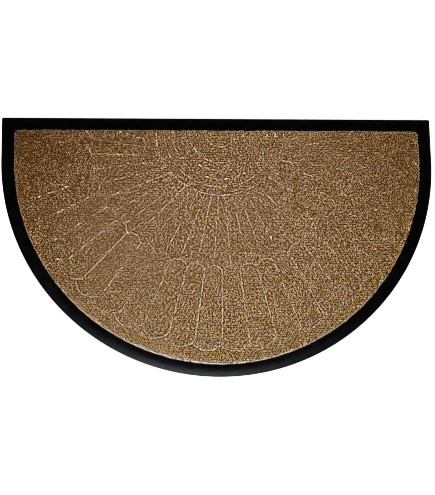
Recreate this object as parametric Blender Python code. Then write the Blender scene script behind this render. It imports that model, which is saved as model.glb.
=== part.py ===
# Half-round doormat, lying on the floor.
# A moulded rubber base with a bevelled border holds a slab of coir pile in its recess,
# and a shell-like fan is pressed into the face of the pile.
# Metres, +Z up. The flat edge faces +Y and the round end faces -Y. Z = 0 is the underside,
# and the origin is under the middle of the mat's box.

from math import cos, pi, radians, sin, sqrt

import bmesh
import bpy
import numpy as np
from mathutils import Vector
from mathutils.geometry import delaunay_2d_cdt

# The mat as a whole
MAT_WIDTH = 0.750
SIDE_LENGTH = 0.075
HALF_WIDTH = MAT_WIDTH / 2
MAT_DEPTH = SIDE_LENGTH + HALF_WIDTH
FLAT_EDGE_Y = MAT_DEPTH / 2
ARC_Y = FLAT_EDGE_Y - SIDE_LENGTH

# The rubber base and its border: each row is (inset from the outer edge, height)
BORDER_WIDTH = 0.021
BASE_THICKNESS = 0.0020
BORDER_ROWS = (
    (0.0000, 0.0012),
    (0.0006, 0.0018),
    (0.0060, 0.0034),
    (0.0110, 0.0044),
    (0.0155, 0.0048),
    (0.0185, 0.0048),
    (0.0200, 0.0044),
)
OUTER_CORNER = 0.002

# The pile
CLEARANCE = 0.0003
PILE_TOP = 0.0070
PILE_BOTTOM = BASE_THICKNESS + CLEARANCE
PILE_CORNER = 0.010
RIM_TOP = 0.0054
RIM_WIDTH = 0.0022
RIM_SHOULDER = 0.0036

# The pressed fan, in the plane of the pile's face. Its hub lies a little right of the middle,
# and the ring between its petals is a circle whose centre lies WAVE_DROP below the hub's
FAN_X = 0.002
FAN_Y = FLAT_EDGE_Y - 0.026
PETAL_ANGLE = radians(7)
PETALS_EACH_SIDE = 13
HUB_RINGS = 7
HUB_FIRST_RADIUS = 0.0255
HUB_PITCH = 0.0144
HUB_RADIUS = HUB_FIRST_RADIUS + (HUB_RINGS - 1) * HUB_PITCH
MIDDLE_START_ANGLE = radians(6.02)
MIDDLE_START_TURN = radians(0.7)
WAVE_RADIUS = 0.233
WAVE_DROP = 0.0106
WAVE_HEIGHT = 0.008
WAVE_LEAN = radians(0.35)
SCALLOP_CUSP = 0.3225
SCALLOP_HEIGHT = 0.0098
SCALLOP_LEAN = radians(0.63)
SCALLOP_FOOT = 0.009
SLIP_ANGLE = radians(1.4)
SLIP_RISE = (-0.9 * PETAL_ANGLE, 2.6 * PETAL_ANGLE)
SLIP_FADE = (5.5 * PETAL_ANGLE, 9.5 * PETAL_ANGLE)

# The channels: (half width, depth)
HUB_CHANNEL = (0.0012, 0.0009)
PETAL_CHANNEL = (0.0016, 0.0013)

# How finely curves are divided
ARC_STEPS = 60
CORNER_STEPS = 6
HUB_STEPS = 36
ARCH_STEPS = 6

# Points nearer than this are one point
SAME_PLACE = 1e-6

RUBBER_COLOUR = (0.010, 0.010, 0.011, 1.0)
RUBBER_ROUGHNESS = 0.55
COIR_COLOUR = (0.250, 0.153, 0.072, 1.0)
COIR_ROUGHNESS = 0.95


def clear_scene():
    for old in list(bpy.data.objects):
        bpy.data.objects.remove(old, do_unlink=True)


def plain_material(name, colour, roughness):
    material = bpy.data.materials.new(name)
    material.use_nodes = True
    shader = material.node_tree.nodes["Principled BSDF"]
    shader.inputs["Base Color"].default_value = colour
    shader.inputs["Roughness"].default_value = roughness
    shader.inputs["Metallic"].default_value = 0.0
    return material


def make_object(name, bm, material):
    mesh = bpy.data.meshes.new(name)
    bm.to_mesh(mesh)
    bm.free()
    mesh.materials.append(material)
    made = bpy.data.objects.new(name, mesh)
    bpy.context.scene.collection.objects.link(made)
    return made


def arc(centre_x, centre_y, radius, start, end, steps):
    angles = [start + (end - start) * i / steps for i in range(steps + 1)]
    return [(centre_x + radius * cos(a), centre_y + radius * sin(a)) for a in angles]


def half_round(inset, corner_radius):
    """The mat's outline drawn in by inset, anticlockwise from its left side.
    A sharp corner has as many points as a round one, all in one place."""
    half = HALF_WIDTH - inset
    corner_x = half - corner_radius
    corner_y = FLAT_EDGE_Y - inset - corner_radius
    return (
        arc(0, ARC_Y, half, pi, 2 * pi, ARC_STEPS)
        + arc(corner_x, corner_y, corner_radius, 0, pi / 2, CORNER_STEPS)
        + arc(-corner_x, corner_y, corner_radius, pi / 2, pi, CORNER_STEPS)
    )


def pile_outline(inset):
    return half_round(BORDER_WIDTH + inset, PILE_CORNER - inset)


def flat_face(bm, outline, height):
    return bm.faces.new([bm.verts.new((x, y, height)) for x, y in outline])


def raise_to(bm, face, outline, height):
    """Extrudes a face and moves its copy onto the next outline up."""
    raised = bmesh.ops.extrude_discrete_faces(bm, faces=[face])["faces"][0]
    for vert, (x, y) in zip(raised.verts, outline):
        vert.co = (x, y, height)
    return raised


def prism(outline, bottom, top):
    bm = bmesh.new()
    lid = flat_face(bm, outline, bottom)
    floor = flat_face(bm, outline, bottom)
    floor.normal_flip()
    raise_to(bm, lid, outline, top)
    bmesh.ops.remove_doubles(bm, verts=bm.verts, dist=SAME_PLACE)
    return bm


def recess_cutter():
    bm = prism(pile_outline(-CLEARANCE), BASE_THICKNESS, 2 * PILE_TOP)
    bmesh.ops.recalc_face_normals(bm, faces=bm.faces)
    mesh = bpy.data.meshes.new("recess_cutter")
    bm.to_mesh(mesh)
    bm.free()
    cutter = bpy.data.objects.new("recess_cutter", mesh)
    bpy.context.scene.collection.objects.link(cutter)
    cutter.hide_render = True
    cutter.display_type = "WIRE"
    return cutter


def rubber_base(material):
    """The outline is raised row by row into a bevelled plate, and the recess is cut from it."""
    bm = bmesh.new()
    outer = half_round(0, OUTER_CORNER)
    face = flat_face(bm, outer, 0)
    floor = flat_face(bm, outer, 0)
    floor.normal_flip()
    for inset, height in BORDER_ROWS:
        corner = max(0.0, OUTER_CORNER - inset)
        face = raise_to(bm, face, half_round(inset, corner), height)
    bmesh.ops.remove_doubles(bm, verts=bm.verts, dist=SAME_PLACE)
    bmesh.ops.recalc_face_normals(bm, faces=bm.faces)
    base = make_object("rubber_base", bm, material)
    cut = base.modifiers.new("recess", "BOOLEAN")
    cut.operation = "DIFFERENCE"
    cut.solver = "EXACT"
    cut.object = recess_cutter()
    return base


def fan_point(angle, radius, centre_x=FAN_X):
    """A point of the fan. The angle runs from the left side, round by the round end."""
    return np.array((centre_x - radius * cos(angle), FAN_Y - radius * sin(angle)))


def leaned(angle, lean):
    """The petals spread a little to each side of the middle line, and most halfway to the diagonals."""
    return angle + lean * cos(3 * angle)


def reach(angle, half_width):
    """The radius at which a ray meets the mat's outline drawn in to this half width."""
    drop = FAN_Y - ARC_Y
    along_side = half_width / max(abs(cos(angle)), SAME_PLACE)
    if along_side * sin(angle) <= drop:
        return along_side
    return drop * sin(angle) + sqrt(half_width**2 - (drop * cos(angle)) ** 2)


def arch(part):
    """A low round arch over one petal: 0 at both ends and 1 in the middle."""
    return 1 - (2 * part - 1) ** 2


def wave_point(angle, height):
    """A point of the ring between the petals, this high on an arch."""
    turned = leaned(angle, WAVE_LEAN)
    return fan_point(turned, WAVE_RADIUS + WAVE_DROP * sin(turned) - height)


def slip(angle):
    """Left of the middle, the scallops sit this much further round than their petals."""
    left = pi / 2 - angle
    return SLIP_ANGLE * np.interp(left, SLIP_RISE + SLIP_FADE, (0, 1, 1, 0))


def scallop_point(angle, height):
    """A point of the scalloped line that follows the mat's outline, this high on an arch."""
    turned = leaned(angle, SCALLOP_LEAN) - slip(angle)
    return fan_point(turned, reach(turned, SCALLOP_CUSP + height), centre_x=0)


def foot_point(angle):
    """Where a divider leaves its straight line for the scallops' cusp."""
    turned = leaned(angle, SCALLOP_LEAN)
    return fan_point(turned, reach(turned, SCALLOP_CUSP) - SCALLOP_FOOT, centre_x=0)


def petal_numbers(offset):
    """The dividers are numbered from the middle line, and offset by a part of a petal."""
    count = range(-PETALS_EACH_SIDE - 1, PETALS_EACH_SIDE + 2)
    return [k + offset for k in count]


def under_flat_edge(line, limit):
    """The part of a line that lies below y = limit, cut where it crosses."""
    kept = []
    for a, b in zip(line, line[1:]):
        if (a[1] <= limit) != (b[1] <= limit):
            crossing = a + (b - a) * (limit - a[1]) / (b[1] - a[1])
            kept += [a, crossing] if a[1] <= limit else [crossing]
        elif a[1] <= limit:
            kept.append(a)
    if line[-1][1] <= limit:
        kept.append(line[-1])
    return kept


def hub_lines():
    angles = [pi * i / HUB_STEPS for i in range(HUB_STEPS + 1)]
    radii = [HUB_FIRST_RADIUS + k * HUB_PITCH for k in range(HUB_RINGS)]
    return [[fan_point(a, radius) for a in angles] for radius in radii]


def arched_line(place, height):
    """A line with an arch over each outer petal. place gives a point from an angle and a height."""
    line = []
    for number in petal_numbers(0)[:-1]:
        for step in range(ARCH_STEPS):
            part = step / ARCH_STEPS
            line.append(place(pi / 2 + (number + part) * PETAL_ANGLE, height * arch(part)))
    return line


def middle_dividers():
    """Straight lines from the hub to the tops of the wave's arches."""
    start_radius = HUB_RADIUS + PETAL_CHANNEL[0] - HUB_CHANNEL[0]
    lines = []
    for number in petal_numbers(0.5):
        start_angle = pi / 2 + MIDDLE_START_TURN + number * MIDDLE_START_ANGLE
        end = wave_point(pi / 2 + number * PETAL_ANGLE, WAVE_HEIGHT)
        lines.append([fan_point(start_angle, start_radius), end])
    return lines


def outer_dividers():
    """Lines from the wave's cusps, straight down to a short foot that ends in the scallops' cusp."""
    angles = [pi / 2 + number * PETAL_ANGLE for number in petal_numbers(0)]
    return [[wave_point(angle, 0), foot_point(angle), scallop_point(angle, 0)] for angle in angles]


def shifted(line, distance):
    """A line moved sideways by distance, mitred at its corners."""
    points = np.array(line)
    ways = np.diff(points, axis=0)
    ways /= np.linalg.norm(ways, axis=1)[:, None]
    before = np.vstack([ways[:1], ways])
    after = np.vstack([ways, ways[-1:]])
    middle = before + after
    middle /= np.linalg.norm(middle, axis=1)[:, None]
    stretch = 1 / (middle * after).sum(axis=1)
    normals = np.column_stack([-middle[:, 1], middle[:, 0]])
    return list(points + distance * stretch[:, None] * normals)


def rim_inset(x, y):
    """How far a point of the face is from the pile's edge."""
    half = HALF_WIDTH - BORDER_WIDTH
    top = FLAT_EDGE_Y - BORDER_WIDTH
    across = abs(x)
    if y < ARC_Y:
        return half - sqrt(x * x + (y - ARC_Y) ** 2)
    if across > half - PILE_CORNER and y > top - PILE_CORNER:
        return PILE_CORNER - sqrt((across - half + PILE_CORNER) ** 2 + (y - top + PILE_CORNER) ** 2)
    return min(half - across, top - y)


def rim_height(x, y):
    rise = (rim_inset(x, y) - RIM_WIDTH) / (RIM_SHOULDER - RIM_WIDTH)
    return RIM_TOP + (PILE_TOP - RIM_TOP) * min(1.0, max(0.0, rise))


def distance_to(line, points):
    """The distance from each point to the nearest part of a line."""
    starts = np.array(line[:-1])[None]
    spans = np.array(line[1:])[None] - starts
    offsets = points[:, None] - starts
    along = (offsets * spans).sum(axis=2) / (spans**2).sum(axis=2)
    nearest = offsets - np.clip(along, 0, 1)[..., None] * spans
    return np.linalg.norm(nearest, axis=2).min(axis=1)


def pressed_lines():
    """Every pressed line, with its channel's half width and depth."""
    groups = (
        (hub_lines(), HUB_CHANNEL),
        (middle_dividers(), PETAL_CHANNEL),
        ([arched_line(wave_point, WAVE_HEIGHT)], PETAL_CHANNEL),
        (outer_dividers(), PETAL_CHANNEL),
        ([arched_line(scallop_point, SCALLOP_HEIGHT)], PETAL_CHANNEL),
    )
    return [(line, channel) for lines, channel in groups for line in lines]


def draw(plan, line, closed=False):
    """Adds a line to the plan's points and edges."""
    points, edges = plan
    first = len(points)
    points.extend(Vector(point) for point in line)
    edges.extend((i, i + 1) for i in range(first, len(points) - 1))
    if closed:
        edges.append((len(points) - 1, first))


def pile_face():
    """The face is divided along the rim and the channels, and each point gets its height."""
    plan = ([], [])
    for inset in (0, RIM_WIDTH, RIM_SHOULDER):
        draw(plan, pile_outline(inset), closed=True)
    channels_end = FLAT_EDGE_Y - BORDER_WIDTH - RIM_SHOULDER
    for line, (half_width, _) in pressed_lines():
        for side in (-half_width, 0, half_width):
            edge = under_flat_edge(shifted(line, side), channels_end)
            if len(edge) > 1:
                draw(plan, edge)
    flat, _, triangles, *_ = delaunay_2d_cdt(*plan, [], 0, SAME_PLACE)
    flat = np.array([tuple(point) for point in flat])
    heights = np.array([rim_height(x, y) for x, y in flat])
    for line, (half_width, depth) in pressed_lines():
        share = np.clip(1 - distance_to(line, flat) / half_width, 0, 1)
        heights = np.minimum(heights, PILE_TOP - depth * share)
    return np.column_stack([flat, heights]), triangles


def coir_pile(material):
    """The relief face, walls down its edge, and a flat back."""
    points, triangles = pile_face()
    bm = bmesh.new()
    verts = [bm.verts.new(point) for point in points]
    for triangle in triangles:
        bm.faces.new([verts[i] for i in triangle])
    edge = [e for e in bm.edges if e.is_boundary]
    wall = bmesh.ops.extrude_edge_only(bm, edges=edge)["geom"]
    for vert in [part for part in wall if isinstance(part, bmesh.types.BMVert)]:
        vert.co.z = PILE_BOTTOM
    bmesh.ops.contextual_create(bm, geom=[e for e in bm.edges if e.is_boundary])
    bmesh.ops.recalc_face_normals(bm, faces=bm.faces)
    return make_object("coir_pile", bm, material)


def main():
    clear_scene()
    rubber_base(plain_material("black_rubber", RUBBER_COLOUR, RUBBER_ROUGHNESS))
    coir_pile(plain_material("coir", COIR_COLOUR, COIR_ROUGHNESS))


main()
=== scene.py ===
# Half-round doormat on a pale floor, seen from above.
# A black rubber base with a bevelled border, a coir pile in its recess, and the fibres of that pile.
# Lengths are in metres. +Z is up, the flat edge faces +Y and the round end faces -Y.

from math import cos, pi, radians, sin, sqrt

import bmesh
import bpy
import numpy as np
from mathutils import Matrix, Vector, noise
from mathutils.kdtree import KDTree


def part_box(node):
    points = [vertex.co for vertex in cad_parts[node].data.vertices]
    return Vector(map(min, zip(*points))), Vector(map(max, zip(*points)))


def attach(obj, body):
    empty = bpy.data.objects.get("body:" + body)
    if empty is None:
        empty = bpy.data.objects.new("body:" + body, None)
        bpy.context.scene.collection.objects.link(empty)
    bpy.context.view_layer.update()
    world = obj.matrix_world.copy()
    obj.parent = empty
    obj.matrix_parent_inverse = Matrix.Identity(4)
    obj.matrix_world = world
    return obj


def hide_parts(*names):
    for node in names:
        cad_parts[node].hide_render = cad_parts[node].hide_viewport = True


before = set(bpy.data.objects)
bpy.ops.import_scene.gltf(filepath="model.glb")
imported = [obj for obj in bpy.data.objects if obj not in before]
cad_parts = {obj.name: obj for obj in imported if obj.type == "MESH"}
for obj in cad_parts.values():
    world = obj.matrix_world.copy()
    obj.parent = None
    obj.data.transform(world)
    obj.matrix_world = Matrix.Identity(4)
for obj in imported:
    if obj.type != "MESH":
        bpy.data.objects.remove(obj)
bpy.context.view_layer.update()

# the outlines of the mat and of its pile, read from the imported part
baseLow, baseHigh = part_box("rubber_base")
pileLow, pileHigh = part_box("coir_pile")
halfWidth = baseHigh.x
flatEdgeY = baseHigh.y
arcY = baseLow.y + halfWidth  # centre of the round end
borderWidth = baseHigh.x - pileHigh.x
pileHalfWidth = halfWidth - borderWidth
pileFlatEdgeY = flatEdgeY - borderWidth
samePlace = 1e-6  # places nearer than this are one place
print("frame loaded")


# pieces

def linkPiece(name, mesh, material):
    mesh.materials.clear()
    mesh.materials.append(material)
    piece = bpy.data.objects.new(name, mesh)
    bpy.context.scene.collection.objects.link(piece)
    return piece


def makePiece(name, bm, material):
    mesh = bpy.data.meshes.new(name)
    bm.to_mesh(mesh)
    bm.free()
    return linkPiece(name, mesh, material)


# material helpers

noiseRange = (0.3, 0.7)  # most of a noise texture lies between these


def setInputs(tree, node, inputs):
    # each input is linked to another node's output, or set to a number or colour
    for name, value in inputs.items():
        socket = node.inputs[name]
        if isinstance(value, bpy.types.NodeSocket):
            tree.links.new(value, socket)
        elif socket.type == "RGBA":
            socket.default_value = (*value, 1)
        else:
            socket.default_value = value


def addNode(tree, kind, inputs=(), **settings):
    node = tree.nodes.new(kind)
    for name, value in settings.items():
        setattr(node, name, value)
    setInputs(tree, node, dict(inputs))
    return node


def startMaterial(name):
    material = bpy.data.materials.new(name)
    material.use_nodes = True
    tree = material.node_tree
    return material, tree, tree.nodes["Principled BSDF"]


def objectPlace(tree):
    return addNode(tree, "ShaderNodeTexCoord").outputs["Object"]


def attributeOf(tree, name):
    return addNode(tree, "ShaderNodeAttribute", attribute_name=name).outputs["Fac"]


def noiseOf(tree, place, scale, detail, roughness):
    inputs = {"Vector": place, "Scale": scale, "Detail": detail, "Roughness": roughness}
    return addNode(tree, "ShaderNodeTexNoise", inputs).outputs["Fac"]


def rampOf(tree, factor, stops):
    made = addNode(tree, "ShaderNodeValToRGB", {"Fac": factor})
    ramp = made.color_ramp
    while len(ramp.elements) < len(stops):
        ramp.elements.new(0.5)
    for element, (position, colour) in zip(ramp.elements, stops):
        element.position = position
        element.color = (*colour, 1)
    return made.outputs["Color"]


def mixOf(tree, factor, first, second, blend="MIX"):
    # a colour mix has its factor at input 0, its colours at 6 and 7 and its result at output 2
    inputs = {0: factor, 6: first, 7: second}
    return addNode(tree, "ShaderNodeMix", inputs, data_type="RGBA", blend_type=blend).outputs[2]


def rangeOf(tree, value, low, high, fromLow=0.0, fromHigh=1.0):
    inputs = {"Value": value, "From Min": fromLow, "From Max": fromHigh, "To Min": low, "To Max": high}
    return addNode(tree, "ShaderNodeMapRange", inputs).outputs["Result"]


def bumpOf(tree, height, strength, distance):
    inputs = {"Height": height, "Strength": strength, "Distance": distance}
    return addNode(tree, "ShaderNodeBump", inputs).outputs["Normal"]


# rubber base

base = {
    "outerCorner": 0.0020,
    "sharpCorner": 0.00004,  # an inner row's corner is a mitre
    "steps": {"arcSteps": 600, "cornerSteps": 4, "sideSteps": 36, "topSteps": 370},
    # (inset from the outer edge, height), from the underside over the bevel and the crest to the lip
    "rows": (
        (0.0002, 0.0), (0.0, 0.0002), (0.0, 0.0011), (0.0002, 0.0015), (0.0007, 0.00182),
        (0.0020, 0.00226), (0.0037, 0.00279), (0.0054, 0.00326), (0.0071, 0.00368), (0.0088, 0.00403),
        (0.0105, 0.00432), (0.0120, 0.00452), (0.0135, 0.00466), (0.0150, 0.00475), (0.0165, 0.0048),
        (0.0178, 0.0048), (0.0186, 0.00476), (0.0200, 0.0044),
    ),
    "lip": (0.0207, 0.0103),  # inset and corner of the recess
    "recessFloor": 0.0020,
    "grainDepth": 0.00016,
    "grainSize": 0.0036,
    "sharpAngle": radians(30),
}


def halfRoundLoop(inset, corner, height, arcSteps, cornerSteps, sideSteps, topSteps):
    # a mesh that holds only the mat's outline, drawn in by inset, as a closed loop of edges
    half = halfWidth - inset
    top = flatEdgeY - inset
    bm = bmesh.new()
    first = bmesh.ops.create_vert(bm, co=(-half, arcY, height))["vert"][0]
    spun = bmesh.ops.spin(bm, geom=[first], cent=(0, arcY, height), axis=(0, 0, 1), angle=pi,
                          steps=arcSteps)
    last = [part for part in spun["geom_last"] if isinstance(part, bmesh.types.BMVert)][0]
    corners = [bmesh.ops.create_vert(bm, co=(side * half, top, height))["vert"][0] for side in (1, -1)]
    for a, b in ((last, corners[0]), (corners[0], corners[1]), (corners[1], first)):
        bmesh.ops.contextual_create(bm, geom=[a, b])
    bmesh.ops.contextual_create(bm, geom=bm.edges[:])
    bmesh.ops.bevel(bm, geom=corners, offset=corner, offset_type="OFFSET", segments=cornerSteps,
                    profile=0.5, affect="VERTICES", material=-1)
    bmesh.ops.delete(bm, geom=bm.faces[:], context="FACES_ONLY")
    straight = sorted(bm.edges, key=lambda edge: edge.calc_length())[-3:]
    for edge, cuts in zip(straight, (sideSteps, sideSteps, topSteps)):
        bmesh.ops.subdivide_edges(bm, edges=[edge], cuts=cuts)
    mesh = bpy.data.meshes.new("outline")
    bm.to_mesh(mesh)
    bm.free()
    return mesh


def rubberShell():
    outlines = [(inset, max(base["sharpCorner"], base["outerCorner"] - inset), height)
                for inset, height in base["rows"]]
    lipInset, lipCorner = base["lip"]
    outlines.append((lipInset, lipCorner, base["rows"][-1][1]))
    outlines.append((lipInset, lipCorner, base["recessFloor"]))
    bm = bmesh.new()
    loops = []
    for inset, corner, height in outlines:
        outline = halfRoundLoop(inset, corner, height, **base["steps"])
        known = len(bm.edges)
        bm.from_mesh(outline)
        bpy.data.meshes.remove(outline)
        bm.edges.ensure_lookup_table()
        loops.append(bm.edges[known:])
    for lower, upper in zip(loops, loops[1:]):
        bmesh.ops.bridge_loops(bm, edges=lower + upper)
    bmesh.ops.contextual_create(bm, geom=loops[0])
    bmesh.ops.contextual_create(bm, geom=loops[-1])
    bmesh.ops.recalc_face_normals(bm, faces=bm.faces)
    for vert in bm.verts:
        if vert.co.z > base["recessFloor"] + samePlace:  # the recess and the foot of the bevel stay plain
            vert.co.z += base["grainDepth"] * noise.noise(vert.co / base["grainSize"])
    for face in bm.faces:
        face.smooth = True
    for edge in bm.edges:
        edge.smooth = edge.calc_face_angle(0) < base["sharpAngle"]
    return bm


rubber = {
    "shades": ((0.35, (0.0001, 0.0001, 0.0001)), (0.75, (0.0006, 0.0006, 0.0008))),
    "scuff": {"scale": 60.0, "detail": 5.0, "roughness": 0.6},
    "grain": {"scale": 330.0, "detail": 1.0, "roughness": 0.5},
    "bump": {"strength": 1.0, "distance": 0.0004},
    "roughness": (0.26, 0.42),
    "specular": 0.085,
    "tint": (0.84, 0.90, 1.0),
}


def rubberMaterial():
    material, tree, shader = startMaterial("mouldedRubber")
    place = objectPlace(tree)
    grain = noiseOf(tree, place, **rubber["grain"])
    scuff = noiseOf(tree, place, **rubber["scuff"])
    setInputs(tree, shader, {
        "Base Color": rampOf(tree, scuff, rubber["shades"]),
        "Roughness": rangeOf(tree, scuff, *rubber["roughness"], *noiseRange),
        "Specular IOR Level": rubber["specular"],
        "Specular Tint": rubber["tint"],
        "Normal": bumpOf(tree, grain, **rubber["bump"]),
    })
    return material


rubberBase = makePiece("rubberBase", rubberShell(), rubberMaterial())
print("rubber base:", len(rubberBase.data.polygons), "faces")


# the pile's outline and heights

pile = {
    "corner": 0.010,
    "rimShoulder": 0.0036,  # how far in the pile is lower along its rim
    "groundTop": 0.0056,  # the ground that the fibres stand on
    "groundShare": 0.53,  # how much of the part's relief the ground keeps
    "fullPress": 0.0009,  # a channel this deep has the pressed shade in full
    # the fibres' feet are lower by dropDepth out from dropInset, and come up over dropWidth
    "dropInset": 0.0022,
    "dropWidth": 0.0014,
    "dropDepth": 0.00085,
}


def insetOfPile(x, y):
    # how far points lie inside the pile's outline, negative outside
    across = np.abs(x)
    fromRound = pileHalfWidth - np.hypot(x, np.minimum(y - arcY, 0))
    fromStraight = np.minimum(pileHalfWidth - across, pileFlatEdgeY - y)
    cornerX = across - (pileHalfWidth - pile["corner"])
    cornerY = y - (pileFlatEdgeY - pile["corner"])
    atCorner = (cornerX > 0) & (cornerY > 0)
    fromStraight = np.where(atCorner, pile["corner"] - np.hypot(cornerX, cornerY), fromStraight)
    return np.where(y < arcY, fromRound, fromStraight)


def groundHeight(x, y):
    drop = np.clip(1 - (insetOfPile(x, y) - pile["dropInset"]) / pile["dropWidth"], 0, 1)
    return pile["groundTop"] - drop * pile["dropDepth"]


# the pressed fan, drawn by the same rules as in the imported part

fan = {
    "x": 0.002,  # the hub's centre
    "y": flatEdgeY - 0.026,
    "petal": radians(7),  # angle of one petal
    "petalsEachSide": 13,
    "rings": 7,
    "ringSteps": 60,
    "hiddenRing": 1,  # the second ring from the inside hardly shows
    "firstRing": 0.0255,
    "ringPitch": 0.0144,
    "middleStart": radians(6.02),  # angle between the inner dividers where they leave the hub
    "middleTurn": radians(0.7),
    "wave": 0.233,  # radius of the ring of petals
    "waveDrop": 0.0106,  # how far its centre lies below the hub's
    "waveHeight": 0.008,
    "waveLean": radians(0.35),
    "scallop": 0.3225,  # half width of the outline through the scallops' cusps
    "scallopHeight": 0.0098,
    "scallopLean": radians(0.63),
    "scallopFoot": 0.009,
    # left of the middle the scallops sit a little further round
    "slip": radians(1.4),
    "slipRange": (radians(-6.3), radians(18.2), radians(38.5), radians(66.5)),
    "archSteps": 8,
    "sampleStep": 0.001,
    # how clearly each line is pressed and how pale it is painted, under the hub and out at the sides; the
    # lines are clearest towards the round end and further round on the left, partly as painted light
    "clarity": {
        "ring": (0.82, 0.56),
        "hubEdge": (1.15, 0.66),
        "middle": (0.78, 0.42),
        "wave": (1.90, 0.26),
        "outer": (1.58, 0.24),
        "scallop": (1.18, 0.0),
    },
    "hiddenClarity": 0.12,
    "clearLeft": radians(56),  # how far round the lines stay clear on each side
    "clearRight": radians(32),
    "lastDivider": radians(77),  # from here on the outer lines and the scallops are gone
    "lastFade": radians(4),  # they fade over this angle before it
    "patch": 0.018,  # size of the places where a line is clear or lost
    "patchShare": 0.60,
    "dots": 0.0075,  # spacing of the bright dots along a line
    "dotShare": 0.45,
    "dotRange": (0.0, 2.0),
}


def fanPoint(angle, radius, centreX):
    # the angle runs from the left side, round by the round end
    return np.array((centreX - radius * cos(angle), fan["y"] - radius * sin(angle)))


def leaned(angle, lean):
    return angle + lean * cos(3 * angle)


def reach(angle, half):
    # the radius at which a ray meets the mat's outline drawn in to this half width
    drop = fan["y"] - arcY
    alongSide = half / max(abs(cos(angle)), samePlace)
    if alongSide * sin(angle) <= drop:
        return alongSide
    return drop * sin(angle) + sqrt(half**2 - (drop * cos(angle)) ** 2)


def wavePoint(angle, height):
    turned = leaned(angle, fan["waveLean"])
    return fanPoint(turned, fan["wave"] + fan["waveDrop"] * sin(turned) - height, fan["x"])


def scallopPoint(angle, height):
    slipped = fan["slip"] * np.interp(pi / 2 - angle, fan["slipRange"], (0, 1, 1, 0))
    turned = leaned(angle, fan["scallopLean"]) - slipped
    return fanPoint(turned, reach(turned, fan["scallop"] + height), 0)


def footPoint(angle):
    # where a divider leaves its straight line for the scallops' cusp
    turned = leaned(angle, fan["scallopLean"])
    return fanPoint(turned, reach(turned, fan["scallop"]) - fan["scallopFoot"], 0)


def archedLine(place, height):
    # one round arch over each petal
    steps = fan["archSteps"]
    count = fan["petalsEachSide"] + 1
    line = []
    for step in range(-count * steps, count * steps):
        part = (step % steps) / steps
        line.append(place(pi / 2 + step / steps * fan["petal"], height * (1 - (2 * part - 1) ** 2)))
    return line


def fanLines():
    # every pressed line, with its kind
    ringKinds = {fan["hiddenRing"]: "hidden", fan["rings"] - 1: "hubEdge"}
    angles = [pi * i / fan["ringSteps"] for i in range(fan["ringSteps"] + 1)]
    lines = []
    for ring in range(fan["rings"]):
        radius = fan["firstRing"] + ring * fan["ringPitch"]
        lines.append((ringKinds.get(ring, "ring"), [fanPoint(angle, radius, fan["x"]) for angle in angles]))
    hub = fan["firstRing"] + (fan["rings"] - 1) * fan["ringPitch"]
    for number in range(-fan["petalsEachSide"] - 1, fan["petalsEachSide"] + 2):
        half = number + 0.5
        start = fanPoint(pi / 2 + fan["middleTurn"] + half * fan["middleStart"], hub, fan["x"])
        lines.append(("middle", [start, wavePoint(pi / 2 + half * fan["petal"], fan["waveHeight"])]))
        angle = pi / 2 + number * fan["petal"]
        lines.append(("outer", [wavePoint(angle, 0), footPoint(angle), scallopPoint(angle, 0)]))
    lines.append(("wave", archedLine(wavePoint, fan["waveHeight"])))
    lines.append(("scallop", archedLine(scallopPoint, fan["scallopHeight"])))
    return lines


def walked(line, step):
    # points along a line at even steps, with the line's direction at each
    line = np.array(line)
    runs = np.linalg.norm(np.diff(line, axis=0), axis=1)
    along = np.concatenate([[0], np.cumsum(runs)])
    count = max(2, int(round(along[-1] / step)) + 1)
    at = np.linspace(0, along[-1], count)
    points = np.column_stack([np.interp(at, along, line[:, i]) for i in (0, 1)])
    ways = np.gradient(points, axis=0)
    return points, ways / np.linalg.norm(ways, axis=1)[:, None]


def clarityOf(kind, points):
    # the share of the tufts on a line that are pressed, at each of its points
    if kind == "hidden":
        return np.full(len(points), fan["hiddenClarity"])
    turn = np.arctan2(points[:, 0] - fan["x"], fan["y"] - points[:, 1])
    middle, side = fan["clarity"][kind]
    spread = np.where(turn < 0, fan["clearLeft"], fan["clearRight"])
    clear = side + (middle - side) * np.exp(-((turn / spread) ** 2))
    if kind in ("outer", "scallop"):
        clear = clear * np.clip((fan["lastDivider"] - np.abs(turn)) / fan["lastFade"], 0, 1)
    return clear


def pressedSamples():
    # samples of all the pressed lines: places, directions and how clear each is
    places, ways, clear = [], [], []
    for kind, line in fanLines():
        points, way = walked(line, fan["sampleStep"])
        kept = insetOfPile(points[:, 0], points[:, 1]) > pile["rimShoulder"]
        places.append(points[kept])
        ways.append(way[kept])
        clear.append(clarityOf(kind, points)[kept])
    return np.vstack(places), np.vstack(ways), np.concatenate(clear)


def nearestLine(x, y):
    # the nearest sample of a pressed line to each point
    places, ways, clear = pressedSamples()
    tree = KDTree(len(places))
    for i, (placeX, placeY) in enumerate(places):
        tree.insert((placeX, placeY, 0), i)
    tree.balance()
    found = [tree.find((pointX, pointY, 0))[1:] for pointX, pointY in zip(x, y)]
    index = np.array([hit[0] for hit in found])
    distance = np.array([hit[1] for hit in found])
    return {"place": places[index], "way": ways[index], "clear": clear[index], "distance": distance}


# the pile's ground: the part's own relief, lowered so that the fibres stand on it

coir = {
    "shades": ((0.40, (0.046, 0.014, 0.001)), (0.66, (0.100, 0.038, 0.004))),
    # the pressed channels' paler colour, partly the fibres' own and partly a painted sheen
    "pressedShade": (0.16, 0.10, 0.06),
    "speck": {"scale": 420.0, "detail": 3.0, "roughness": 0.6},
    "bump": {"strength": 0.8, "distance": 0.0008},
    "roughness": 0.92,
    "specular": 0.0,
}


def groundMaterial():
    material, tree, shader = startMaterial("coirGround")
    speck = noiseOf(tree, objectPlace(tree), **coir["speck"])
    colour = rampOf(tree, speck, coir["shades"])
    setInputs(tree, shader, {
        "Base Color": mixOf(tree, attributeOf(tree, "pressed"), colour, coir["pressedShade"]),
        "Roughness": coir["roughness"],
        "Specular IOR Level": coir["specular"],
        "Normal": bumpOf(tree, speck, **coir["bump"]),
    })
    return material


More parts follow.
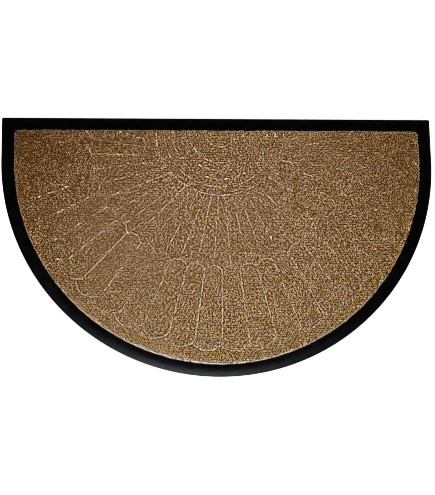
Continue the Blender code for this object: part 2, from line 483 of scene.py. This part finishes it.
def coirGround():
    bm = bmesh.new()
    bm.from_mesh(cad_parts["coir_pile"].data)
    bmesh.ops.remove_doubles(bm, verts=bm.verts, dist=samePlace)
    pressed = bm.verts.layers.float.new("pressed")
    halfUp = (pileLow.z + pileHigh.z) / 2
    for vert in bm.verts:
        if vert.co.z > halfUp:
            below = pileHigh.z - vert.co.z
            inner = insetOfPile(vert.co.x, vert.co.y) > pile["rimShoulder"] / 2
            vert[pressed] = min(1.0, below / pile["fullPress"]) if inner else 0.0
            vert.co.z = pile["groundTop"] - pile["groundShare"] * below
    lined = [vert for vert in bm.verts if vert[pressed] > 0]
    line = nearestLine(np.array([vert.co.x for vert in lined]), np.array([vert.co.y for vert in lined]))
    for vert, share in zip(lined, line["clear"]):
        vert[pressed] *= float(share)
    bmesh.ops.recalc_face_normals(bm, faces=bm.faces)
    return bm


coirPile = makePiece("coirPile", coirGround(), groundMaterial())
print("pile ground:", len(coirPile.data.polygons), "faces")


# fibres

tuft = {
    "seed": 7,
    "spacing": 0.0036,
    "jitter": 0.24,  # share of the spacing
    "size": (0.82, 1.18),
    "tone": (0.776, 0.115),  # mean and spread
    "lift": (0.00050, 0.00110),  # how high the middle stands over the ground
    "lean": radians(9),
    "edgeRoom": 0.0011,
    "overTop": 0.0010,  # how far tips may lean over the pile's edge at the flat edge
    "overRound": 0.0006,
}

fibre = {
    "perTuft": 3,
    "apart": 0.00058,
    "rounded": 0.00022,  # how much lower the outer fibres of a tuft lie
    "length": 0.0041,
    "radius": 0.00050,
    "sides": 3,
    "middleShare": 0.50,  # straight middle, the rest tapers to two tips
    "shapes": 16,
    "bend": (radians(30), radians(65)),  # how far the tips bend down
    "curl": radians(45),  # and at most how far they turn sideways
    # how much the fibres of a tuft differ in height, place, heading and tone
    "uneven": 0.00012,
    "slide": 0.0005,
    "turn": radians(7),
    "tone": 0.08,
    "pieces": 6,
}

# every fibre has its own cell in the bake map, with a strip for each of its sides
bake = {
    "map": "OFBake",
    "along": 0.9,  # how much of its strip a side fills, along and to each side
    "across": 0.4,
    "margin": 0.06,  # how much of a cell stays free at its start, and how much is filled
    "share": 0.88,
}

rng = np.random.default_rng(tuft["seed"])


def fibreShape(bendStart, bendEnd, curl):
    # a three-sided spindle one unit long with two tips, bent at each end of its middle
    sides = fibre["sides"]
    middle = fibre["middleShare"]
    radius = fibre["radius"] / fibre["length"]
    bm = bmesh.new()
    bmesh.ops.create_cone(bm, cap_ends=True, cap_tris=False, segments=sides, radius1=radius, radius2=radius,
                          depth=middle, matrix=Matrix.Rotation(pi / 2, 4, "Y"))
    caps = [face for face in bm.faces if len(face.verts) == sides]
    bmesh.ops.poke(bm, faces=caps, offset=(1 - middle) / 2)
    bmesh.ops.triangulate(bm, faces=bm.faces)
    uvLayer = bm.loops.layers.uv.new(bake["map"])
    for face in bm.faces:
        centre = face.calc_center_median()
        side = round((np.arctan2(centre.z, centre.y) / (2 * pi) + 1) * sides) % sides
        middleAngle = side * 2 * pi / sides
        for loop in face.loops:
            at = loop.vert.co
            off = 0.0
            if abs(at.x) <= middle / 2 + samePlace:
                off = 1.0 if sin(np.arctan2(at.z, at.y) - middleAngle) > 0 else -1.0
            loop[uvLayer].uv = (0.5 + bake["along"] * at.x, (side + 0.5 + bake["across"] * off) / sides)
    for sign, bend in ((1, bendEnd), (-1, bendStart)):
        tip = [vert for vert in bm.verts if sign * vert.co.x > middle / 2 + samePlace]
        hinge = (sign * middle / 2, 0, 0)
        bmesh.ops.rotate(bm, verts=tip, cent=hinge, matrix=Matrix.Rotation(sign * bend, 3, "Y"))
        bmesh.ops.rotate(bm, verts=tip, cent=hinge, matrix=Matrix.Rotation(sign * curl, 3, "Z"))
    bm.verts.index_update()
    places = np.array([vert.co[:] for vert in bm.verts])
    faces = np.array([[vert.index for vert in face.verts] for face in bm.faces])
    uvs = np.array([[loop[uvLayer].uv[:] for loop in face.loops] for face in bm.faces])
    bm.free()
    return places, faces, uvs


rim = {
    "inset": 0.0005,
    "moreInset": 0.0016,  # at the sides and the flat edge
    "insetPower": 6,
    "arcSteps": 240,
    "cornerSteps": 12,
    "step": 0.0014,  # spacing of the tufts along the rim
    "wander": 0.0004,
    "lift": (-0.0002, 0.0004),
    "alongTop": 0.25,  # share of the tufts that lie along the rim
    "alongBottom": 1.0,
    "splay": radians(35),  # how far the tips at the flat edge turn from straight out
    "turn": radians(28),  # how far those along the round end turn from it
    "wanderShare": 0.4,
    "whitest": radians(9),  # the whitest place, where the painted highlight is strongest, turned from the middle of the round end to the left
    "whiteSpread": radians(35),
    "leastWhite": 0.12,
    "whiteDepth": 0.0062,
    "whiteGain": 1.35,  # over 1, so that the outermost tufts are white in full
    "whiteVaries": (0.45, 1.0),
    "dark": 0.16,  # how much darker the rim is where it isn't white
    "bright": 0.16,
}


def rimWay(x, y):
    # the direction straight out over the pile's edge
    step = 1e-4
    out = -np.column_stack([insetOfPile(x + step, y) - insetOfPile(x - step, y),
                            insetOfPile(x, y + step) - insetOfPile(x, y - step)])
    return out / np.maximum(np.linalg.norm(out, axis=1), samePlace)[:, None]


def rimInset(down):
    # how far the row of tufts along the rim stands inside the pile's edge, least at the round end
    return rim["inset"] + rim["moreInset"] * (1 - np.clip(down, 0, 1) ** rim["insetPower"])


def arcPoints(x, y, radius, start, end, steps):
    angles = np.linspace(start, end, steps)
    return [np.array((x + radius * cos(angle), y + radius * sin(angle))) for angle in angles]


def rimPlaces():
    # places along the pile's edge
    corner = pile["corner"]
    cornerX = pileHalfWidth - corner
    cornerY = pileFlatEdgeY - corner
    line = arcPoints(0, arcY, pileHalfWidth, pi, 2 * pi, rim["arcSteps"])
    line += arcPoints(cornerX, cornerY, corner, 0, pi / 2, rim["cornerSteps"])
    line += arcPoints(-cornerX, cornerY, corner, pi / 2, pi, rim["cornerSteps"])
    line.append(line[0])
    places, ways = walked(line, rim["step"])
    inwards = np.column_stack([-ways[:, 1], ways[:, 0]])
    places = places + inwards * rimInset(ways[:, 0])[:, None] + rng.normal(0, rim["wander"], places.shape)
    return places[:, 0], places[:, 1]


def tuftPlaces():
    # a jittered grid of places over the pile
    spacing = tuft["spacing"]
    xs = np.arange(-halfWidth, halfWidth, spacing)
    ys = np.arange(-flatEdgeY, flatEdgeY, spacing * sqrt(3) / 2)
    x, y = np.meshgrid(xs, ys)
    x = x + spacing / 2 * (np.arange(len(ys)) % 2)[:, None]
    x = x + rng.uniform(-1, 1, x.shape) * spacing * tuft["jitter"]
    y = y + rng.uniform(-1, 1, y.shape) * spacing * tuft["jitter"]
    x, y = x.ravel(), y.ravel()
    kept = insetOfPile(x, y) > rimInset(-rimWay(x, y)[:, 1]) + tuft["edgeRoom"]
    return x[kept], y[kept]


patches = {
    "waves": 24,
    "sizes": (0.7, 1.6),  # each wave's length, as a share of the patches' size
}


def slowNoise(x, y, size):
    # smooth patches of about this size, mostly between -1 and 1
    total = np.zeros(len(x))
    for _ in range(patches["waves"]):
        heading = rng.uniform(0, 2 * pi)
        wave = 2 * pi / (size * rng.uniform(*patches["sizes"]))
        total += np.sin(wave * (x * cos(heading) + y * sin(heading)) + rng.uniform(0, 2 * pi))
    return total / sqrt(patches["waves"])


# painted light, which scales the fibres' tone and warmth: it falls off from the round end towards the flat
# edge and its corners
paintedDaylight = {
    "brightest": 1.048,
    "fromY": -0.13,  # the light falls off from here towards the flat edge
    "depth": 0.28,  # and has fallen by upFall this much further up
    "mostUp": 1.3,
    "upFall": 0.152,
    "halfWidth": 0.28,  # this far from the middle it has fallen by sideFall
    "shift": 0.036,  # how far right its middle lies further up
    "sideFall": 0.135,
    "cornerFall": 0.09,
}


def paintedLightAt(x, y):
    # painted light: the pile's tone is palest in the middle of the round end and darkest at the flat edge's
    # corners, where less light falls
    up = np.clip((y - paintedDaylight["fromY"]) / paintedDaylight["depth"], 0, paintedDaylight["mostUp"])
    across = (x - paintedDaylight["shift"] * up) / paintedDaylight["halfWidth"]
    sideways = across**2 * (paintedDaylight["sideFall"] + paintedDaylight["cornerFall"] * up**2)
    return paintedDaylight["brightest"] - paintedDaylight["upFall"] * up - sideways


def freeTufts(x, y, light):
    # tufts that stand free and point every way
    count = len(x)
    meanTone, toneSpread = tuft["tone"]
    return {
        "x": x,
        "y": y,
        "size": rng.uniform(*tuft["size"], count),
        "heading": rng.uniform(0, 2 * pi, count),
        "lift": rng.uniform(*tuft["lift"], count),
        "lean": rng.normal(0, tuft["lean"], count),
        "flatten": np.ones(count),
        "tone": meanTone * light + rng.normal(0, toneSpread, count),
        "paleAndSheen": np.zeros(count),
    }


# the pressed tufts are paler: partly the pressed fibres' own colour and partly a painted sheen, more of
# both on a clear line
pressing = {
    "halfWidth": 0.0022,  # tufts this near a line can be pressed
    "pull": 0.52,  # pressed tufts keep this share of their distance from the line
    "flatten": 0.6,
    "lift": (0.00005, 0.00045),
    "wander": radians(22),  # how far they turn from the line
    "tone": (0.88, 0.28),  # mean and spread
    "dotTone": 0.30,  # how much brighter its dots are
    "clearTone": 0.16,  # how much brighter a clear line is
    "mostClear": 1.3,
    "fade": (0.0, 1.0),
    "clearPaleAndSheen": (0.50, 0.75),  # how pale a lost line is, partly as painted sheen, and how much more a clear one
}


def pressTufts(tufts, line, light):
    # on a clear line the tufts are pressed flat along it
    count = len(tufts["x"])
    pressed = (rng.random(count) < line["clear"]) & (line["distance"] < pressing["halfWidth"])
    wander = rng.normal(0, pressing["wander"], count)
    moved = line["place"] + (np.column_stack([tufts["x"], tufts["y"]]) - line["place"]) * pressing["pull"]
    shown = np.clip(line["clear"], 0, pressing["mostClear"])
    meanTone, toneSpread = pressing["tone"]
    # a line's pale tone, partly painted sheen, scaled by the painted light
    tone = (meanTone + pressing["clearTone"] * shown) * light
    tone = tone * (1 + pressing["dotTone"] * (line["dots"] - 1))
    leastPaleAndSheen, morePaleAndSheen = pressing["clearPaleAndSheen"]
    flat = {
        "x": moved[:, 0],
        "y": moved[:, 1],
        "heading": np.arctan2(line["way"][:, 1], line["way"][:, 0]) + wander,
        "lift": rng.uniform(*pressing["lift"], count),
        "lean": 0,
        "flatten": pressing["flatten"],
        "tone": tone + rng.normal(0, toneSpread, count),
        "paleAndSheen": rng.uniform(*pressing["fade"], count) * (leastPaleAndSheen + morePaleAndSheen * shown) * line["dots"],
    }
    for kind, values in flat.items():
        tufts[kind] = np.where(pressed, values, tufts[kind])
    print("tufts:", count, "of them pressed:", int(pressed.sum()))
    return wander


def layRim(tufts, onRim, wander):
    # the rim's tufts lie along it at the round end, and lean out over the border at the flat edge
    x, y = tufts["x"], tufts["y"]
    count = len(x)
    out = rimWay(x, y)
    atTop = np.clip(out[:, 1], 0, 1)
    atBottom = np.clip(-out[:, 1], 0, 1)
    outwards = np.arctan2(out[:, 1], out[:, 0])
    rimward = np.arctan2(out[:, 0], -out[:, 1])
    alongShare = rim["alongTop"] + (rim["alongBottom"] - rim["alongTop"]) * (1 - atTop)
    along = onRim & (rng.random(count) < alongShare)
    splayed = outwards + rng.normal(0, rim["splay"], count)
    heading = np.where(onRim & ~along, splayed, tufts["heading"])

    # a tip that would reach too far over the edge turns along it
    room = tuft["overRound"] + (tuft["overTop"] - tuft["overRound"]) * atTop
    half = fibre["length"] * tufts["size"] / 2
    tipX = half * np.cos(heading)
    tipY = half * np.sin(heading)
    worst = np.minimum(insetOfPile(x + tipX, y + tipY), insetOfPile(x - tipX, y - tipY))
    turned = rimward + rng.normal(0, rim["turn"], count) * atBottom + rim["wanderShare"] * wander
    tufts["heading"] = np.where(along | (worst < -room), turned, heading)
    tufts["lift"] = np.where(onRim, rng.uniform(*rim["lift"], count), tufts["lift"])
    tufts["lean"] = np.where(onRim, 0, tufts["lean"])

    # nearly white at the round end, partly the pale pressed rim and partly a painted highlight on the side
    # that faces the light; a little darker than the pile elsewhere
    fromWhitest = np.arctan2(-out[:, 0], -out[:, 1]) - rim["whitest"]
    roundWhite = np.maximum(np.exp(-((fromWhitest / rim["whiteSpread"]) ** 2)), rim["leastWhite"])
    depth = np.clip((insetOfPile(x, y) - rimInset(-out[:, 1])) / rim["whiteDepth"], 0, 1)
    white = np.clip(rim["whiteGain"] * (1 - depth), 0, 1) * roundWhite
    tufts["white"] = white * rng.uniform(*rim["whiteVaries"], count)
    tufts["tone"] = tufts["tone"] - rim["dark"] * onRim * (1 - roundWhite) + rim["bright"] * tufts["white"]


warmth = {
    "mean": 0.45,
    "patch": 0.024,  # size of the golden and mauve patches
    "patchShare": 0.22,
    "spread": 0.15,
    "rimInset": 0.026,  # out from here the pile is more golden
    "rimBlend": 0.008,
    "rimShare": 0.25,
    "paintedShadeShare": 1.1,  # how much less golden the places with painted shade are
}


def warmthOf(x, y, light):
    # how golden each tuft is, from 0 for mauve to 1 for golden, and less golden where shade is painted
    warm = warmth["mean"] + warmth["patchShare"] * slowNoise(x, y, warmth["patch"])
    warm = warm + rng.normal(0, warmth["spread"], len(x))
    nearRim = np.clip((warmth["rimInset"] - insetOfPile(x, y)) / warmth["rimBlend"], 0, 1)
    return warm + warmth["rimShare"] * nearRim - warmth["paintedShadeShare"] * (1 - light)


def plantTufts():
    # every tuft's place, heading, size and tone
    rimX, rimY = rimPlaces()
    overX, overY = tuftPlaces()
    x = np.concatenate([overX, rimX])
    y = np.concatenate([overY, rimY])
    # painted light that darkens the tufts' tones and warmth further from the round end
    light = paintedLightAt(x, y)
    onRim = np.arange(len(x)) >= len(overX)
    line = nearestLine(x, y)
    lineX, lineY = line["place"][:, 0], line["place"][:, 1]
    line["clear"] = line["clear"] * (1 + fan["patchShare"] * slowNoise(lineX, lineY, fan["patch"]))
    line["dots"] = np.clip(1 + fan["dotShare"] * slowNoise(lineX, lineY, fan["dots"]), *fan["dotRange"])
    tufts = freeTufts(x, y, light)
    wander = pressTufts(tufts, line, light)
    layRim(tufts, onRim, wander)
    tufts["warm"] = warmthOf(tufts["x"], tufts["y"], light)
    tufts["shape"] = rng.integers(0, fibre["shapes"], len(x))
    return tufts


def plantFibres():
    # the fibres of every tuft lie side by side
    tufts = plantTufts()
    each = fibre["perTuft"]
    planted = {kind: np.repeat(values, each) for kind, values in tufts.items()}
    count = len(planted["x"])
    side = np.tile(np.arange(each) - (each - 1) / 2, len(tufts["x"]))
    offset = side * fibre["apart"] * planted["size"]
    slide = rng.normal(0, fibre["slide"], count)
    turnCos = np.cos(planted["heading"])
    turnSin = np.sin(planted["heading"])
    planted["x"] = planted["x"] + slide * turnCos - offset * turnSin
    planted["y"] = planted["y"] + slide * turnSin + offset * turnCos
    planted["heading"] = planted["heading"] + rng.normal(0, fibre["turn"], count)
    outer = np.abs(side) / max((each - 1) / 2, 1)
    planted["lift"] = planted["lift"] - outer * fibre["rounded"] + rng.normal(0, fibre["uneven"], count)
    planted["tone"] = np.clip(planted["tone"] + rng.normal(0, fibre["tone"], count), 0, 1)
    planted["warm"] = np.clip(planted["warm"], 0, 1)
    return planted


fibreLooks = ("tone", "warm", "paleAndSheen", "white")


def joinedFibres(name, planted, shapes, material):
    # copies of the shapes joined in one mesh, with their looks as attributes
    places, faces, uvs = shapes
    count = len(planted["x"])
    local = places[planted["shape"]] * (planted["size"] * fibre["length"])[:, None, None]
    x, y = local[:, :, 0], local[:, :, 1]
    z = local[:, :, 2] * planted["flatten"][:, None] + x * np.tan(planted["lean"])[:, None]
    turnCos = np.cos(planted["heading"])[:, None]
    turnSin = np.sin(planted["heading"])[:, None]
    ground = groundHeight(planted["x"], planted["y"])
    points = np.stack([
        planted["x"][:, None] + x * turnCos - y * turnSin,
        planted["y"][:, None] + x * turnSin + y * turnCos,
        (ground + planted["lift"])[:, None] + z,
    ], axis=2)
    perShape = places.shape[1]
    allFaces = faces[None] + (np.arange(count) * perShape)[:, None, None]
    mesh = bpy.data.meshes.new(name)
    mesh.from_pydata(points.reshape(-1, 3), [], allFaces.reshape(-1, 3))
    for kind in fibreLooks:
        values = np.repeat(planted[kind], perShape).astype(np.float32)
        mesh.attributes.new(kind, "FLOAT", "POINT").data.foreach_set("value", values)
    across = int(np.ceil(sqrt(count)))
    cell = np.stack([np.arange(count) % across, np.arange(count) // across], axis=1)
    spread = (cell[:, None, None, :] + bake["margin"] + bake["share"] * uvs[None]) / across
    layer = mesh.uv_layers.new(name=bake["map"])
    layer.data.foreach_set("uv", spread.reshape(-1).astype(np.float32))
    mesh.shade_smooth()
    return linkPiece(name, mesh, material)


fibreColours = {
    "tones": (
        (0.00, (0.046, 0.020, 0.005)),
        (0.25, (0.138, 0.070, 0.023)),
        (0.50, (0.335, 0.198, 0.078)),
        (0.75, (0.600, 0.420, 0.233)),
        (1.00, (0.870, 0.684, 0.458)),
    ),
    "hues": ((0.15, (1.015, 0.97, 1.04)), (0.85, (1.045, 1.00, 0.70))),  # mauve and golden
    # the pale of the pressed lines, partly the fibres' own colour and partly a painted sheen
    "paleAndSheen": (0.92, 0.79, 0.64),
    "paleAndSheenShare": 0.80,
    # the rim's white, partly pale pressed fibres and partly a painted highlight
    "white": (0.92, 0.90, 0.88),
    "whiteShare": 0.86,
    "streak": {"scale": 700.0, "detail": 2.0, "roughness": 0.6},
    "streakShades": (0.55, 1.45),
    "bump": {"strength": 0.4, "distance": 0.0003},
    "roughness": 0.90,
    "specular": 0.0,
}


def fibreMaterial():
    look = fibreColours
    material, tree, shader = startMaterial("coirFibre")
    tone, warm, paleAndSheen, white = (attributeOf(tree, name) for name in fibreLooks)
    streak = noiseOf(tree, objectPlace(tree), **look["streak"])
    colour = rampOf(tree, tone, look["tones"])
    colour = mixOf(tree, 1.0, colour, rampOf(tree, warm, look["hues"]), "MULTIPLY")
    colour = mixOf(tree, rangeOf(tree, paleAndSheen, 0.0, look["paleAndSheenShare"]), colour, look["paleAndSheen"])
    colour = mixOf(tree, rangeOf(tree, white, 0.0, look["whiteShare"]), colour, look["white"])
    colour = mixOf(tree, 1.0, colour, rangeOf(tree, streak, *look["streakShades"], *noiseRange), "MULTIPLY")
    setInputs(tree, shader, {
        "Base Color": colour,
        "Roughness": look["roughness"],
        "Specular IOR Level": look["specular"],
        "Normal": bumpOf(tree, streak, **look["bump"]),
    })
    return material


def coirFibres():
    made = []
    for _ in range(fibre["shapes"]):
        bendStart, bendEnd = rng.uniform(*fibre["bend"], 2)
        made.append(fibreShape(bendStart, bendEnd, rng.uniform(-fibre["curl"], fibre["curl"])))
    shapes = (np.array([places for places, _, _ in made]), *made[0][1:])  # all have the same faces and map
    planted = plantFibres()
    material = fibreMaterial()
    pieces = []
    for i in range(fibre["pieces"]):
        part = {kind: values[i::fibre["pieces"]] for kind, values in planted.items()}
        pieces.append(joinedFibres(f"coirFibres{i + 1}", part, shapes, material))
    return pieces


fibrePieces = coirFibres()
print("fibre pieces:", [len(piece.data.polygons) for piece in fibrePieces])


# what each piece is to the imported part

for piece in [rubberBase, coirPile, *fibrePieces]:
    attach(piece, "root")
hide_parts("rubber_base")
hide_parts("coir_pile")
print("pieces joined to the frame")


# floor, light and camera

studio = {
    "floorSize": 60.0,
    "floorHeight": -0.0001,
    "floorColour": (0.90, 0.90, 0.90),
    "floorRoughness": 0.9,
    "floorSpecular": 0.0,
    "sunStrength": 3.9,
    "sunAngle": radians(30),
    "sunFromZenith": radians(36),
    "sunTurn": radians(-5),
    "sunDistance": 3.0,
    "sky": ((0.0, (0.62, 0.63, 0.65)), (0.75, (0.030, 0.032, 0.036))),  # from the horizon upwards
    "lens": 85.0,
    "sensorWidth": 36.0,
    "clipStart": 0.01,
    "filmBlur": 0.75,
    "cameraPlace": (-0.1524, -0.3744, 1.9668),
    "cameraTurn": (radians(10.712), radians(-4.107), radians(-0.916)),
}


def paleFloor():
    bm = bmesh.new()
    bmesh.ops.create_grid(bm, x_segments=1, y_segments=1, size=studio["floorSize"],
                          matrix=Matrix.Translation((0, 0, studio["floorHeight"])))
    material, tree, shader = startMaterial("paleFloor")
    setInputs(tree, shader, {
        "Base Color": studio["floorColour"],
        "Roughness": studio["floorRoughness"],
        "Specular IOR Level": studio["floorSpecular"],
    })
    return makePiece("floor", bm, material)


def softSun():
    light = bpy.data.lights.new("softSun", "SUN")
    light.energy = studio["sunStrength"]
    light.angle = studio["sunAngle"]
    sun = bpy.data.objects.new("softSun", light)
    bpy.context.scene.collection.objects.link(sun)
    slope = studio["sunFromZenith"]
    turn = studio["sunTurn"]
    away = studio["sunDistance"]
    sun.location = (away * sin(slope) * sin(turn), -away * sin(slope) * cos(turn), away * cos(slope))
    sun.rotation_mode = "QUATERNION"
    sun.rotation_quaternion = (-Vector(sun.location)).to_track_quat("-Z", "Y")


def dome():
    world = bpy.data.worlds.new("dome")
    world.use_nodes = True
    tree = world.node_tree
    place = addNode(tree, "ShaderNodeTexCoord").outputs["Generated"]
    height = addNode(tree, "ShaderNodeSeparateXYZ", {"Vector": place}).outputs["Z"]
    setInputs(tree, tree.nodes["Background"], {"Color": rampOf(tree, height, studio["sky"])})
    bpy.context.scene.world = world


def mainCamera():
    lens = bpy.data.cameras.new("camera")
    lens.lens = studio["lens"]
    lens.sensor_width = studio["sensorWidth"]
    lens.clip_start = studio["clipStart"]
    camera = bpy.data.objects.new("camera", lens)
    camera.location = studio["cameraPlace"]
    camera.rotation_euler = studio["cameraTurn"]
    bpy.context.scene.collection.objects.link(camera)
    bpy.context.scene.camera = camera


bpy.context.scene.cycles.filter_width = studio["filmBlur"]
paleFloor()
softSun()
dome()
mainCamera()
bpy.context.scene.view_settings.view_transform = "Standard"
print("floor, light and camera set")
